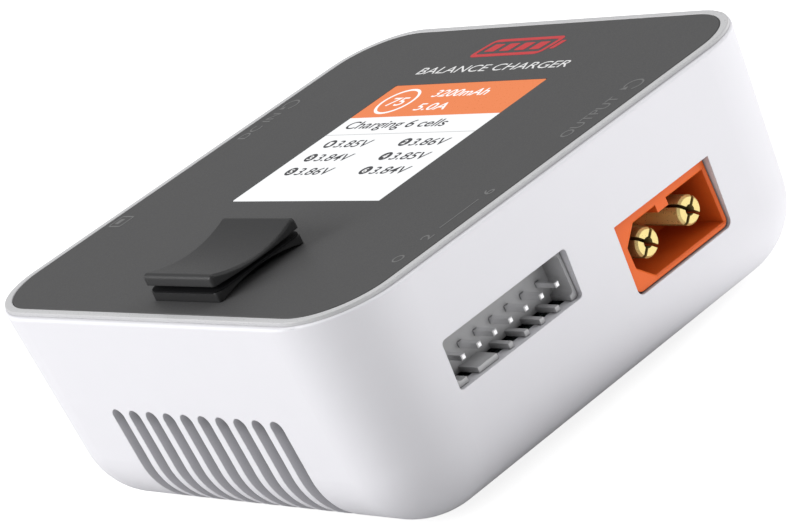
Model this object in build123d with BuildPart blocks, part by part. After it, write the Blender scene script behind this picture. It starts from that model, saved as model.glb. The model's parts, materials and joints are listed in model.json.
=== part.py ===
from build123d import *
import os
from math import radians, sin, sqrt

os.makedirs("parts", exist_ok=True)

# Balance battery charger, modelled as it comes apart on a bench.
# Frame: origin at the centre of the footprint, on the plane that the feet rest on.
# +X is the battery side, -X the power input side, -Y the rocker end, +Z up. Millimetres.

BASE = (Align.CENTER, Align.CENTER, Align.MIN)
HANG = (Align.CENTER, Align.CENTER, Align.MAX)
RUN = 0.03  # radial clearance of a running fit
GAP = 0.05  # assembly clearance on a side
FIT = 0.1  # clearance on a side round a part that shows through an opening
THREAD_GAP = 0.02  # radial clearance drawn round a self-tapping thread
THROUGH = 40.0  # longer than any hole is deep

# ---- Driving dimensions -------------------------------------------------------------------

FOOT_H = 1.0
CASE_H = 29.3
CASE_W = 71.3  # square, at the shoulder
CASE_R = 11.3
DRAFT = 4.07  # degrees, the walls lean in towards the floor
BOTTOM_R = 9.6
RIM_FILLET = 0.3
WALL = 2.0
FLOOR_T = 1.8

TOP_Z = FOOT_H + CASE_H
SHOULDER_Z = TOP_Z - 0.45
FLOOR_Z = FOOT_H + FLOOR_T

BEZEL_W = 69.8
BEZEL_R = 9.3
PANEL_W = 67.8
PANEL_R = 8.4
PANEL_EDGE_T = 0.5
PANEL_T = 1.8
PANEL_BODY_W = 63.8
PANEL_BODY_R = 6.4
PANEL_Z = TOP_Z - PANEL_T  # the panel's underside
REBATE_W = 69.2  # step inside the housing's rim that takes the bezel
REBATE_R = 9.0
REBATE_H = 2.65

POST_X = 20.4
POST_Y = 22.7
POSTS = [(x, y) for x in (-POST_X, POST_X) for y in (-POST_Y, POST_Y)]
POST_R = 2.6
COLLAR_R = 3.2
COLLAR_H = 2.4
CASE_SCREW_R = 1.2
CASE_SCREW_BITE = 6.0
CASE_HEAD_R = 2.2
CASE_HEAD_H = 1.6
SMALL_SCREW_R = 0.95  # the display board's and the heat sink's screws
SMALL_HEAD_R = 1.8
SMALL_HEAD_H = 1.3
FOOT_R = 3.6
FOOT_RECESS = 0.5
HEAD_SEAT_Z = FOOT_H + 2.5

BOARD_TOP = TOP_Z - 15.2
BOARD_T = 1.6
BOARD_BOTTOM = BOARD_TOP - BOARD_T
BOARD_W = 63.2
BOARD_R = 8.0

SLOT_COUNT = 10
SLOT_PITCH = 3.433
SLOT_W = 2.2
SLOT_X0 = 0.4
SLOT_TOP_Z = TOP_Z - 12.75
SLOT_END_Y = 21.5
MESH_T = 0.4  # dust screen behind the slots
MESH_BEND_R = 7.2
MESH_END_Y = 20.5

SCREEN_X = -0.25
SCREEN_Y = 5.08
SCREEN_W = 28.2
WINDOW_LIP = 1.2
WINDOW_RECESS = 0.02

ROCKER_X = 4.5
ROCKER_Y = -24.8
ROCKER_W = 13.2
ROCKER_L = 13.1
ROCKER_TILT = 3.0  # degrees each way
ROCKER_PRESS = 0.2
PIVOT_Z = TOP_Z - 2.6
PIVOT_R = 0.6
ARM_REACH = 5.6  # pivot to the nub that meets a dome
ARM_W = 3.0
ARM_T = 0.9
NUB_R = 0.6
LEVER_R = 1.45
LEVER_HALF_W = 3.2
CARRIER_W = 9.2
CARRIER_L = 3.8
GUIDE_X = 4.85
GUIDE_W = 2.7
GUIDE_L = 6.0
GUIDE_H = 2.4
COLLAR_TOP = 1.17  # rocker base above the panel
SEAL_T = 0.16
ARCH_CHORD = 12.6
ARCH_RISE = 1.0
NECK_W = 9.4
NECK_L = 6.4
STEM_W = 6.4  # the cap's hollow stem
STEM_L = 3.8
POST_W = 5.0  # the lever's post inside it
POST_L = 2.4
CAP_UNDER_RISE = 0.3  # the paddle's underside is an arc, higher at its ends
CAP_END_DROP = ROCKER_L / 2 * sin(radians(ROCKER_TILT))
# the tilted arc just clears the seal when the paddle is also pressed
CAP_MID_UNDER = COLLAR_TOP + SEAL_T + ROCKER_PRESS + GAP + CAP_END_DROP**2 / (4 * CAP_UNDER_RISE)
CAP_END_UNDER = CAP_MID_UNDER + CAP_UNDER_RISE
CAP_MID_TOP = 2.2
CAP_END_TOP = 3.55

DISPLAY_BOARD_TOP = TOP_Z - 5.5
DISPLAY_BOARD_T = 1.2
DISPLAY_BOARD_BOTTOM = DISPLAY_BOARD_TOP - DISPLAY_BOARD_T
DISPLAY_SCREWS = [(x, y) for x in (-14.2, 14.2) for y in (-28.9, 23.6)]
DISPLAY_POST_R = 2.0
DISPLAY_BOARD_W = 33.6
DISPLAY_BOARD_L = 57.8
DISPLAY_BOARD_Y = -2.9
DOME_R = 2.0
DOME_H = 0.35
DOME_T = 0.08
MID_NUB_Z = DISPLAY_BOARD_TOP + DOME_H + THREAD_GAP  # the nubs' undersides
SIDE_NUB_Z = MID_NUB_Z + ROCKER_PRESS
CARRIER_BOTTOM = DISPLAY_BOARD_TOP + 0.75

WINDOW_FLANGE_T = 0.5
CELL_T = 1.4
CELL_BOTTOM = PANEL_Z - WINDOW_FLANGE_T - GAP - CELL_T
CELL_Y = 4.05
CELL_W = 31.5
CELL_L = 33.7
BACKLIGHT_BOTTOM = CELL_BOTTOM - 0.9
BACKLIGHT_H = 2.1
BACKLIGHT_WALL = 0.5
FOAM_MARGIN = 0.25
FOAM_W = 2.5
FLEX_X = -6.0
FLEX_W = 9.0
FLEX_T = 0.15
FLEX_Z = 0.6  # height over the glass ledge at one end and over the board at the other
FLEX_SOCKET_Y = -16.0
FLEX_SOCKET_H = 1.2

LINK_X = -14.0
LINK_Y = -4.0
LINK_PITCH = 2.0
LINK_COUNT = 8
LINK_L = 16.2
LINK_W = 2.0
LINK_PIN_W = 0.5
LINK_PIN_REACH = 3.2
LINK_SPLIT_Z = DISPLAY_BOARD_BOTTOM - 2.0

SINK_SCREWS = [(-13.5, POST_Y), (13.5, POST_Y)]
SINK_BASE_Z = BOARD_BOTTOM - 3.15
SINK_BASE_T = 1.6
SINK_W = 31.0
SINK_L = 11.6
SINK_BOSS_R = 1.9
SINK_BOSS_H = 0.5
FIN_H = 5.6
FIN_T = 0.9
FIN_PITCH = 2.15
FIN_COUNT = 15
fin_row = [FIN_PITCH * (n - (FIN_COUNT - 1) / 2) for n in range(FIN_COUNT)]

POWER_Y = 11.4
POWER_Z = TOP_Z - 15.08
POWER_W = 15.6
POWER_H = 8.45
POWER_GAP = 0.2  # round the shroud, in its opening
POWER_FACE_X = 33.95
POWER_BACK_X = 17.9
BULLET_R = 1.75
BULLET_ROOT_R = 2.1  # where the housing grips it
BULLET_PITCH = 7.2
BULLET_TIP_X = 33.8
BULLET_ROOT_X = 25.0
BULLET_SLIT = 7.0
BULLET_SLIT_W = 0.4
BULLET_BORE_R = 0.65
POWER_CORNER_R = 0.9
POWER_FLARE = 0.2
# the cavity's outline about the socket's centre: square at one end, bevelled at the other
power_cavity = [(7.4, 3.0), (-4.45, 3.0), (-6.5, 0.95), (-6.5, -1.6), (-4.35, -3.7), (7.4, -3.7)]
bullet_centres = [(POWER_Y + side * BULLET_PITCH / 2, POWER_Z) for side in (-1, 1)]

BALANCE_Y = -13.7
BALANCE_Z = TOP_Z - 11.95
BALANCE_PINS_Y = -13.45
BALANCE_PIN_Z = TOP_Z - 12.3
BALANCE_PIN_COUNT = 7
BALANCE_PITCH = 2.5
BALANCE_FACE_X = 33.93
BALANCE_BACK_X = 23.9
BALANCE_TAIL_X = BALANCE_BACK_X - 0.8
HEADER_DEPTH = 3.3  # from the header's face to the wall that the pins stand on
HEADER_Z = BOARD_TOP + 0.25  # the header stands off the board
HEADER_W = 19.4
HEADER_H = 6.0
HEADER_CORNER_R = 0.45
HEADER_SIDE_T = 0.4
HEADER_FLOOR_T = 0.65
HEADER_ROOF_T = 0.45
HEADER_RIB_W = 0.65
BALANCE_PIN_W = 0.64
first_pin_y = BALANCE_PINS_Y - BALANCE_PITCH * (BALANCE_PIN_COUNT - 1) / 2
balance_pin_ys = [first_pin_y + BALANCE_PITCH * n for n in range(BALANCE_PIN_COUNT)]

USB_Y = -13.8
USB_Z = BOARD_TOP + 1.3
USB_FACE_X = -34.2
USB_W = 7.5
USB_H = 2.55
USB_R = 0.7
USB_L = 5.6
USB_SKIN = 0.25

FAN_W = 30.0
FAN_T = 7.0
FAN_Z = FLOOR_Z + 0.8
FAN_HOLE = 12.0
FAN_BORE_R = 13.8
FAN_HOLES = [(x, y) for x in (-FAN_HOLE, FAN_HOLE) for y in (-FAN_HOLE, FAN_HOLE)]
FAN_BOSS_R = 2.5
FAN_SCREW_R = 1.2
FAN_SCREW_BITE = 1.5
FAN_HEAD_H = 1.5
FAN_PLATE_T = 1.0
FAN_PLUG_X = 8.0
FAN_PLUG_Y = -20.5
FAN_PLUG_Z = BOARD_BOTTOM - 1.6
BEARING_R = 1.6
BEARING_H = 3.8
SHAFT_R = 0.75
SHAFT_L = 5.3
HUB_R = 7.5
HUB_Z = FAN_Z + 1.6
HUB_H = 5.0
HUB_WALL = 0.8
BLADE_COUNT = 7
BLADE_T = 0.7
BLADE_CHORD = 4.6
BLADE_ANGLE = 42  # degrees from the shaft's direction
WIRE_R = 0.45
wire_xs = (FAN_PLUG_X - 0.7, FAN_PLUG_X + 0.7)


# ---- Shared shapes ------------------------------------------------------------------------


def drafted_tub(width, radius, bottom_z, bottom_radius):
    """Solid square tub that hangs from the shoulder plane, with drafted walls and a round bottom."""
    with BuildPart() as tub:
        with BuildSketch(Plane.XY.offset(SHOULDER_Z)):
            RectangleRounded(width, width, radius)
        extrude(amount=bottom_z - SHOULDER_Z, taper=DRAFT)
        fillet(tub.faces().sort_by(Axis.Z)[0].edges(), bottom_radius)
    return tub.part


def pan_screw(head_r, head_h, shank_r, length):
    """Pan-head screw, head down: the head's seat is at z = 0 and the tip points up."""
    with BuildPart() as screw:
        Cylinder(head_r, head_h, align=HANG)
        fillet(screw.edges().sort_by(Axis.Z)[0], head_h * 0.3)
        Cylinder(shank_r, length, align=BASE)
        chamfer(screw.edges().sort_by(Axis.Z)[-1], shank_r * 0.4)
        with BuildSketch(Plane.XY.offset(-head_h)):
            Rectangle(head_r * 1.1, head_r * 0.26)
            Rectangle(head_r * 0.26, head_r * 1.1)
        extrude(amount=head_h * 0.5, mode=Mode.SUBTRACT)
    return screw.part


def block(x, y, z_low, size, height, radius=0.0):
    """Upright block on z_low, centred at x, y, with its vertical edges rounded."""
    with BuildPart() as solid:
        with BuildSketch(Plane.XY.offset(z_low)):
            with Locations((x, y)):
                if radius:
                    RectangleRounded(size[0], size[1], radius)
                else:
                    Rectangle(*size)
        extrude(amount=height)
    return solid.part


def side_plane(x, y, z):
    """Plane square to X at x, y, z, with its own x axis along +Y and its own y axis up."""
    return Plane(origin=(x, y, z), x_dir=(0, 1, 0), z_dir=(1, 0, 0))


def power_outline(clearance):
    """A power socket's outline, grown by a clearance: square corners above and round ones below."""
    with BuildSketch() as outline:
        Rectangle(POWER_W + 2 * clearance, POWER_H + 2 * clearance)
        fillet(outline.vertices().group_by(Axis.Y)[0], POWER_CORNER_R)
    return outline.sketch


def half_turned(part):
    """The same part on the opposite side of the case: half a turn about the connectors' row."""
    return part.rotate(Axis((0, POWER_Y, 0), (0, 0, 1)), 180)


# ---- Lower housing ------------------------------------------------------------------------

outer_tub = drafted_tub(CASE_W, CASE_R, FOOT_H, BOTTOM_R)
cavity = drafted_tub(CASE_W - 2 * WALL, CASE_R - WALL, FLOOR_Z, BOTTOM_R - WALL)

# one wall slot: seen from the front its top end is round, seen from below its rear end
with BuildPart() as slot_cutter:
    with BuildSketch(Plane.XZ.offset(SLOT_END_Y - SLOT_W)):
        SlotOverall(2 * SLOT_TOP_Z, SLOT_W, rotation=90)
    extrude(amount=CASE_W / 2 - SLOT_END_Y + 2 * SLOT_W)
    with BuildSketch():
        with Locations((0, -SLOT_END_Y - CASE_W / 2)):
            SlotOverall(CASE_W, SLOT_W, rotation=90)
    extrude(amount=SLOT_TOP_Z, mode=Mode.INTERSECT)

slot_row = [SLOT_X0 + SLOT_PITCH * (n - (SLOT_COUNT - 1) / 2) for n in range(SLOT_COUNT)]
front_slots = [Location((x, 0, 0)) for x in slot_row]
rear_slots = [Location((x, 0, 0), (0, 0, 180)) for x in slot_row]

# the sockets' openings in the two side walls
with BuildPart() as port_cutter:
    with BuildSketch(Plane.YZ.offset(CASE_W / 2 - 6)):
        with Locations((POWER_Y, POWER_Z)):
            add(power_outline(POWER_GAP))
        with Locations((BALANCE_Y, BALANCE_Z)):
            RectangleRounded(HEADER_W + 2 * FIT, HEADER_H + FIT, HEADER_CORNER_R + GAP)
    extrude(amount=8)
    with BuildSketch(Plane.YZ.offset(-CASE_W / 2 - 2)):
        with Locations((POWER_Y, POWER_Z)):
            add(power_outline(POWER_GAP))
        with Locations((USB_Y, USB_Z)):
            RectangleRounded(USB_W + 9 * FIT, USB_H + 8.5 * FIT, USB_R + 3 * FIT)
    extrude(amount=8)

with BuildPart() as intake_cutter:
    for x in slot_row[1:-1]:
        reach = sqrt((FAN_BORE_R - 0.8) ** 2 - (x - SLOT_X0) ** 2)
        with BuildSketch(Plane.XY.offset(FOOT_H - 1)):
            with Locations((x - SLOT_X0, 0)):
                SlotOverall(2 * reach, SLOT_W, rotation=90)
        extrude(amount=FLOOR_T + 2)

with BuildPart() as lower_housing:
    add(outer_tub)
    fillet(lower_housing.faces().sort_by(Axis.Z)[-1].edges(), RIM_FILLET)
    add(cavity, mode=Mode.SUBTRACT)
    with BuildSketch(Plane.XY.offset(SHOULDER_Z)):
        RectangleRounded(REBATE_W, REBATE_W, REBATE_R)
    extrude(amount=-REBATE_H, mode=Mode.SUBTRACT)
    with Locations(*front_slots, *rear_slots):
        add(slot_cutter.part, mode=Mode.SUBTRACT)
    add(port_cutter.part, mode=Mode.SUBTRACT)
    add(intake_cutter.part, mode=Mode.SUBTRACT)
    # hollow posts carry the board and take the case screws from below
    with Locations(*[(x, y, FLOOR_Z - GAP) for x, y in POSTS]):
        Cylinder(COLLAR_R, COLLAR_H + GAP, align=BASE)
        Cylinder(POST_R, BOARD_BOTTOM - FLOOR_Z + GAP, align=BASE)
    with Locations(*[(x, y, 0) for x, y in POSTS]):
        Cylinder(CASE_SCREW_R + 2.5 * FIT, TOP_Z, align=BASE, mode=Mode.SUBTRACT)
        Cylinder(CASE_HEAD_R + 2 * FIT, HEAD_SEAT_Z, align=BASE, mode=Mode.SUBTRACT)
        Cylinder(FOOT_R + FIT, FOOT_H + FOOT_RECESS, align=BASE, mode=Mode.SUBTRACT)
    with Locations(*[(x, y, FLOOR_Z - GAP) for x, y in FAN_HOLES]):
        Cylinder(FAN_BOSS_R, FAN_Z - FLOOR_Z + GAP, align=BASE)
    with Locations(*[(x, y, FAN_Z) for x, y in FAN_HOLES]):
        Cylinder(FAN_SCREW_R + THREAD_GAP, FAN_SCREW_BITE + 0.2, align=HANG, mode=Mode.SUBTRACT)
lower_housing.part.label = "lower_housing"
export_step(lower_housing.part, "parts/lower_housing.step")

with BuildPart() as rubber_feet:
    with Locations(*[(x, y, 0) for x, y in POSTS]):
        Cylinder(FOOT_R, FOOT_H + FOOT_RECESS - GAP, align=BASE)
    fillet(rubber_feet.faces().group_by(Axis.Z)[0].edges(), RIM_FILLET)
rubber_feet.part.label = "rubber_feet"
export_step(rubber_feet.part, "parts/rubber_feet.step")

case_screw_length = BOARD_TOP + CASE_SCREW_BITE - HEAD_SEAT_Z
case_screw = pan_screw(CASE_HEAD_R, CASE_HEAD_H, CASE_SCREW_R, case_screw_length)
with BuildPart() as case_screws:
    with Locations(*[(x, y, HEAD_SEAT_Z) for x, y in POSTS]):
        add(case_screw)
case_screws.part.label = "case_screws"
export_step(case_screws.part, "parts/case_screws.step")

# Dust screens line the cavity behind each row of wall slots.
mesh_w = CASE_W - 2 * WALL - 2 * GAP
mesh_z = FLOOR_Z + GAP
with BuildPart() as mesh_lining:
    add(drafted_tub(mesh_w, CASE_R - WALL, mesh_z, BOTTOM_R - WALL))
    mesh_inside = drafted_tub(mesh_w - 2 * MESH_T, CASE_R - WALL, mesh_z + MESH_T, MESH_BEND_R)
    add(mesh_inside, mode=Mode.SUBTRACT)
    with BuildSketch():
        Rectangle(SLOT_PITCH * (SLOT_COUNT - 1) + SLOT_W + 4 * FIT, CASE_W)
    extrude(amount=SLOT_TOP_Z + 1, mode=Mode.INTERSECT)
    with BuildSketch():
        Rectangle(CASE_W, 2 * MESH_END_Y)
    extrude(amount=TOP_Z, mode=Mode.SUBTRACT)
lining = mesh_lining.part.moved(Location((SLOT_X0, 0, 0)))

with BuildPart() as vent_mesh_front:
    add(lining)
    split(bisect_by=Plane.XZ, keep=Keep.TOP)
vent_mesh_front.part.label = "vent_mesh_front"
export_step(vent_mesh_front.part, "parts/vent_mesh_front.step")

with BuildPart() as vent_mesh_rear:
    add(lining)
    split(bisect_by=Plane.XZ, keep=Keep.BOTTOM)
vent_mesh_rear.part.label = "vent_mesh_rear"
export_step(vent_mesh_rear.part, "parts/vent_mesh_rear.step")

# ---- Bezel and face panel -----------------------------------------------------------------

with BuildPart() as top_bezel:
    with BuildSketch(Plane.XY.offset(SHOULDER_Z)):
        RectangleRounded(BEZEL_W, BEZEL_W, BEZEL_R)
    extrude(amount=TOP_Z - SHOULDER_Z)
    with BuildSketch(Plane.XY.offset(SHOULDER_Z)):
        RectangleRounded(REBATE_W - 2 * GAP, REBATE_W - 2 * GAP, REBATE_R - GAP)
    extrude(amount=GAP - REBATE_H)
    with BuildSketch(Plane.XY.offset(TOP_Z)):
        RectangleRounded(PANEL_W + 2 * GAP, PANEL_W + 2 * GAP, PANEL_R + GAP)
    extrude(amount=-PANEL_EDGE_T, mode=Mode.SUBTRACT)
    with BuildSketch(Plane.XY.offset(TOP_Z)):
        RectangleRounded(PANEL_BODY_W + 4 * GAP, PANEL_BODY_W + 4 * GAP, PANEL_BODY_R + 2 * GAP)
    extrude(amount=-REBATE_H - 1, mode=Mode.SUBTRACT)
    fillet(top_bezel.faces().sort_by(Axis.Z)[-1].edges(), 0.12)
top_bezel.part.label = "top_bezel"
export_step(top_bezel.part, "parts/top_bezel.step")

with BuildPart() as face_panel:
    with BuildSketch(Plane.XY.offset(TOP_Z)):
        RectangleRounded(PANEL_W, PANEL_W, PANEL_R)
    extrude(amount=-PANEL_EDGE_T)
    chamfer(face_panel.faces().sort_by(Axis.Z)[-1].edges(), 0.12)
    with BuildSketch(Plane.XY.offset(PANEL_Z)):
        RectangleRounded(PANEL_BODY_W, PANEL_BODY_W, PANEL_BODY_R)
    extrude(amount=PANEL_T - PANEL_EDGE_T)
    with Locations(*[(x, y, BOARD_TOP) for x, y in POSTS]):
        Cylinder(POST_R, PANEL_Z - BOARD_TOP, align=BASE)
    with Locations(*[(x, y, DISPLAY_BOARD_TOP) for x, y in DISPLAY_SCREWS]):
        Cylinder(DISPLAY_POST_R, PANEL_Z - DISPLAY_BOARD_TOP, align=BASE)
    # two channels guide the rocker's carrier
    with Locations(*[(ROCKER_X + side * GUIDE_X, ROCKER_Y, PANEL_Z) for side in (-1, 1)]):
        Box(GUIDE_W, GUIDE_L, GUIDE_H, align=HANG)
    with Locations((ROCKER_X, ROCKER_Y, PANEL_Z)):
        Box(CARRIER_W + 2 * GAP, CARRIER_L + 2 * GAP, GUIDE_H, align=HANG, mode=Mode.SUBTRACT)
    with Locations(*[(x, y, BOARD_TOP) for x, y in POSTS]):
        Cylinder(CASE_SCREW_R + THREAD_GAP, CASE_SCREW_BITE + 0.5, align=BASE, mode=Mode.SUBTRACT)
    with Locations(*[(x, y, DISPLAY_BOARD_TOP) for x, y in DISPLAY_SCREWS]):
        Cylinder(SMALL_SCREW_R + THREAD_GAP, 3.2, align=BASE, mode=Mode.SUBTRACT)
    with Locations((SCREEN_X, SCREEN_Y, TOP_Z)):
        Box(SCREEN_W + 2 * GAP, SCREEN_W + 2 * GAP, PANEL_T, align=HANG, mode=Mode.SUBTRACT)
    with Locations((ROCKER_X, ROCKER_Y, TOP_Z)):
        Box(NECK_W + 2 * GAP, NECK_L + 2 * GAP, PANEL_T, align=HANG, mode=Mode.SUBTRACT)
face_panel.part.label = "face_panel"
export_step(face_panel.part, "parts/face_panel.step")

# ---- Display ------------------------------------------------------------------------------

with BuildPart() as display_window:
    with BuildSketch(Plane.XY.offset(PANEL_Z)):
        with Locations((SCREEN_X, SCREEN_Y)):
            RectangleRounded(SCREEN_W, SCREEN_W, 0.3)
    extrude(amount=PANEL_T - WINDOW_RECESS)
    with BuildSketch(Plane.XY.offset(PANEL_Z)):
        with Locations((SCREEN_X, SCREEN_Y)):
            Rectangle(SCREEN_W + 2 * WINDOW_LIP, SCREEN_W + 2 * WINDOW_LIP)
    extrude(amount=-WINDOW_FLANGE_T)
display_window.part.label = "display_window"
export_step(display_window.part, "parts/display_window.step")

with BuildPart() as lcd_cell:
    add(block(SCREEN_X, CELL_Y, CELL_BOTTOM, (CELL_W, CELL_L), CELL_T))
lcd_cell.part.label = "lcd_cell"
export_step(lcd_cell.part, "parts/lcd_cell.step")

backlight_size = (CELL_W + 2 * BACKLIGHT_WALL, CELL_L + 2 * BACKLIGHT_WALL)
with BuildPart() as lcd_backlight_frame:
    add(block(SCREEN_X, CELL_Y, BACKLIGHT_BOTTOM, backlight_size, BACKLIGHT_H, BACKLIGHT_WALL + FIT))
    add(
        block(SCREEN_X, CELL_Y, CELL_BOTTOM, (CELL_W + 2 * GAP, CELL_L + 2 * GAP), BACKLIGHT_H),
        mode=Mode.SUBTRACT,
    )
    # notch where the flexible cable leaves the glass
    with Locations((FLEX_X, CELL_Y - CELL_L / 2, CELL_BOTTOM)):
        Box(FLEX_W + 1, 6 * BACKLIGHT_WALL, BACKLIGHT_H, align=BASE, mode=Mode.SUBTRACT)
lcd_backlight_frame.part.label = "lcd_backlight_frame"
export_step(lcd_backlight_frame.part, "parts/lcd_backlight_frame.step")

foam_size = (CELL_W - 2 * FOAM_MARGIN, CELL_L - 2 * FOAM_MARGIN)
foam_hole = (foam_size[0] - 2 * FOAM_W, foam_size[1] - 2 * FOAM_W)
foam_h = BACKLIGHT_BOTTOM - DISPLAY_BOARD_TOP
with BuildPart() as lcd_foam_tape:
    add(block(SCREEN_X, CELL_Y, DISPLAY_BOARD_TOP, foam_size, foam_h))
    add(block(SCREEN_X, CELL_Y, DISPLAY_BOARD_TOP, foam_hole, foam_h), mode=Mode.SUBTRACT)
lcd_foam_tape.part.label = "lcd_foam_tape"
export_step(lcd_foam_tape.part, "parts/lcd_foam_tape.step")

with BuildPart() as lcd_flex:
    with BuildSketch(Plane.YZ.offset(FLEX_X - FLEX_W / 2)):
        with BuildLine():
            FilletPolyline(
                (CELL_Y - CELL_L / 2 - GAP, CELL_BOTTOM + FLEX_Z),
                (FLEX_SOCKET_Y + 2.0, CELL_BOTTOM + FLEX_Z),
                (FLEX_SOCKET_Y + 1.0, DISPLAY_BOARD_TOP + FLEX_Z),
                (FLEX_SOCKET_Y - 0.2, DISPLAY_BOARD_TOP + FLEX_Z),
                radius=0.4,
            )
        trace(line_width=FLEX_T)
    extrude(amount=FLEX_W)
lcd_flex.part.label = "lcd_flex"
export_step(lcd_flex.part, "parts/lcd_flex.step")

with BuildPart() as flex_connector:
    add(block(FLEX_X, FLEX_SOCKET_Y - 1.0, DISPLAY_BOARD_TOP, (FLEX_W + 2, 3.0), FLEX_SOCKET_H))
    with Locations((FLEX_X, FLEX_SOCKET_Y + 0.1, DISPLAY_BOARD_TOP + FLEX_Z)):
        Box(FLEX_W + 0.3, 1.6, 2 * FLEX_T, mode=Mode.SUBTRACT)
flex_connector.part.label = "flex_connector"
export_step(flex_connector.part, "parts/flex_connector.step")

with BuildPart() as display_board:
    board_size = (DISPLAY_BOARD_W, DISPLAY_BOARD_L)
    add(block(0, DISPLAY_BOARD_Y, DISPLAY_BOARD_BOTTOM, board_size, DISPLAY_BOARD_T, 1.5))
    with Locations(*[(x, y, DISPLAY_BOARD_TOP) for x, y in DISPLAY_SCREWS]):
        Hole(SMALL_SCREW_R + FIT, depth=DISPLAY_BOARD_T)
display_board.part.label = "display_board"
export_step(display_board.part, "parts/display_board.step")

display_screw = pan_screw(SMALL_HEAD_R, SMALL_HEAD_H, SMALL_SCREW_R, DISPLAY_BOARD_T + 2.9)
with BuildPart() as display_board_screws:
    with Locations(*[(x, y, DISPLAY_BOARD_BOTTOM) for x, y in DISPLAY_SCREWS]):
        add(display_screw)
display_board_screws.part.label = "display_board_screws"
export_step(display_board_screws.part, "parts/display_board_screws.step")

# ---- Rocker -------------------------------------------------------------------------------

with BuildPart() as rocker_base:
    add(block(ROCKER_X, ROCKER_Y, TOP_Z, (ROCKER_W - 2 * FIT, ROCKER_L - FIT), COLLAR_TOP, 0.5))
    # the long sides are arched underneath
    arch_r = (ARCH_CHORD**2 / 4 + ARCH_RISE**2) / (2 * ARCH_RISE)
    for side in (-1, 1):
        with BuildSketch(Plane.YZ.offset(ROCKER_X + side * (ROCKER_W / 2 - 2.8))):
            with Locations((ROCKER_Y, TOP_Z + ARCH_RISE - arch_r)):
                Circle(arch_r)
        extrude(amount=side * 3, mode=Mode.SUBTRACT)
    with Locations((ROCKER_X, ROCKER_Y, TOP_Z)):
        Box(NECK_W, NECK_L, PANEL_T, align=HANG)
        Box(STEM_W + 6 * FIT, STEM_L + 12 * FIT, THROUGH, mode=Mode.SUBTRACT)
rocker_base.part.label = "rocker_base"
export_step(rocker_base.part, "parts/rocker_base.step")

with BuildPart() as rocker_seal:
    seal_size = (ROCKER_W + 2 * FIT, ROCKER_L + 2 * FIT)
    add(block(ROCKER_X, ROCKER_Y, TOP_Z + COLLAR_TOP, seal_size, SEAL_T, 1.5))
    with Locations((ROCKER_X, ROCKER_Y, TOP_Z)):
        Box(STEM_W + 6 * FIT, STEM_L + 12 * FIT, THROUGH, mode=Mode.SUBTRACT)
rocker_seal.part.label = "rocker_seal"
export_step(rocker_seal.part, "parts/rocker_seal.step")

# side profile of the paddle: hollow on top, so a fingertip finds either end
with BuildPart() as rocker_cap:
    with BuildSketch(side_plane(ROCKER_X - ROCKER_W / 2, ROCKER_Y, TOP_Z)):
        with BuildLine():
            half = ROCKER_L / 2
            under = ThreePointArc((-half, CAP_END_UNDER), (0, CAP_MID_UNDER), (half, CAP_END_UNDER))
            front = Line(under @ 0, (-half, CAP_END_TOP))
            rear = Line(under @ 1, (half, CAP_END_TOP))
            ThreePointArc(front @ 1, (0, CAP_MID_TOP), rear @ 1)
        make_face()
    extrude(amount=ROCKER_W)
    fillet(rocker_cap.edges().filter_by(Axis.X).group_by(Axis.Z)[-1], 0.5)
    fillet(rocker_cap.edges().filter_by(Axis.Z), 0.4)
    with Locations((ROCKER_X, ROCKER_Y, TOP_Z - 0.6)):
        Box(STEM_W, STEM_L, 0.7 + CAP_MID_UNDER, align=BASE)
        Box(POST_W + 2 * THREAD_GAP, POST_L + 2 * THREAD_GAP, 1.95, align=BASE, mode=Mode.SUBTRACT)
rocker_cap.part.label = "rocker_cap"
export_step(rocker_cap.part, "parts/rocker_cap.step")

with BuildPart() as rocker_lever:
    with Locations(Location((ROCKER_X, ROCKER_Y, PIVOT_Z), (0, 90, 0))):
        Cylinder(LEVER_R, 2 * LEVER_HALF_W)
    with Locations((ROCKER_X, ROCKER_Y, PIVOT_Z)):
        Box(POST_W, POST_L, TOP_Z + 1.3 - PIVOT_Z, align=BASE)
        Box(ARM_W, 2 * ARM_REACH + 1.6, ARM_T, align=HANG)
    with Locations(*[(ROCKER_X, ROCKER_Y + side * ARM_REACH, PIVOT_Z - 0.5) for side in (-1, 1)]):
        Cylinder(NUB_R, PIVOT_Z - 0.5 - SIDE_NUB_Z, align=HANG)
    with Locations(Location((ROCKER_X, ROCKER_Y, PIVOT_Z), (0, 90, 0))):
        Cylinder(PIVOT_R + RUN, 2 * LEVER_HALF_W + 1, mode=Mode.SUBTRACT)
rocker_lever.part.label = "rocker_lever"
export_step(rocker_lever.part, "parts/rocker_lever.step")

with BuildPart() as rocker_pin:
    with Locations(Location((ROCKER_X, ROCKER_Y, PIVOT_Z), (0, 90, 0))):
        Cylinder(PIVOT_R, CARRIER_W - FIT)
    chamfer(rocker_pin.edges().filter_by(GeomType.CIRCLE), 0.12)
rocker_pin.part.label = "rocker_pin"
export_step(rocker_pin.part, "parts/rocker_pin.step")

with BuildPart() as rocker_carrier:
    with Locations((ROCKER_X, ROCKER_Y, CARRIER_BOTTOM)):
        Box(CARRIER_W, CARRIER_L, PANEL_Z - THREAD_GAP - CARRIER_BOTTOM, align=BASE)
    with Locations((ROCKER_X, ROCKER_Y, CARRIER_BOTTOM + 0.5)):
        Box(2 * LEVER_HALF_W + 2 * FIT, CARRIER_L + 1, 5, align=BASE, mode=Mode.SUBTRACT)
    with Locations((ROCKER_X, ROCKER_Y, CARRIER_BOTTOM + FIT)):
        Cylinder(NUB_R, CARRIER_BOTTOM + FIT - MID_NUB_Z, align=HANG)
    with Locations(Location((ROCKER_X, ROCKER_Y, PIVOT_Z), (0, 90, 0))):
        Cylinder(PIVOT_R + 0.01, CARRIER_W + 1, mode=Mode.SUBTRACT)
rocker_carrier.part.label = "rocker_carrier"
export_step(rocker_carrier.part, "parts/rocker_carrier.step")

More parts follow.
